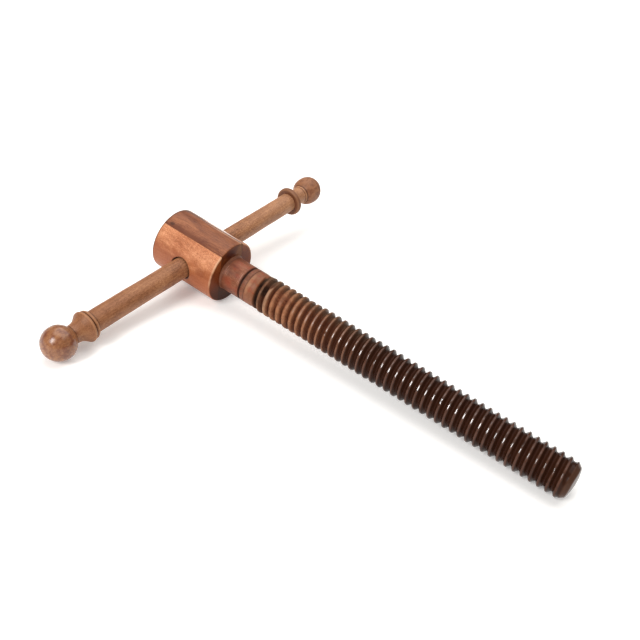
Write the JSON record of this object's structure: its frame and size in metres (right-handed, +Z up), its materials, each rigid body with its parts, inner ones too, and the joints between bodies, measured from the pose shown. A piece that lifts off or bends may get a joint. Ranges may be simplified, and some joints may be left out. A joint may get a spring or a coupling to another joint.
{
  "type": "wooden bench-vise clamp screw",
  "caption": "Turned wooden clamp screw for a bench vise: threaded shaft with a laminated cylindrical head and a sliding tommy bar through it.",
  "frame": {"origin": "on the screw's axis in the plane of the head's front face, where the plain neck starts", "axes": "+X along the screw from the head to the tip, Y along the tommy bar with the ball end at -Y, +Z up, square to both"},
  "size_m": [0.496, 0.4295, 0.0704],
  "materials": {
    "core_wood": "oiled, satin, with a dark cathedral figure",
    "cheek_wood": "oiled, satin, fine flecks",
    "screw_wood": "old dark polish, glossy towards the tip, worn lighter near the head",
    "bar_wood": "handled, dull satin, mottled",
    "finial_wood": "handled, dull satin, mottled"
  },
  "bodies": {
    "screw": {"head_core": "core_wood", "head_cheek_near": "cheek_wood", "head_cheek_far": "cheek_wood", "screw_shaft": "screw_wood"},
    "handle": {"tommy_bar": "bar_wood", "end_finial": "finial_wood"}
  },
  "joints": [
    {"name": "bar_slide", "type": "slide", "parent": "screw", "child": "handle", "axis": [0, 1, 0], "range_m": [-0.119, 0.125]}
  ]
}
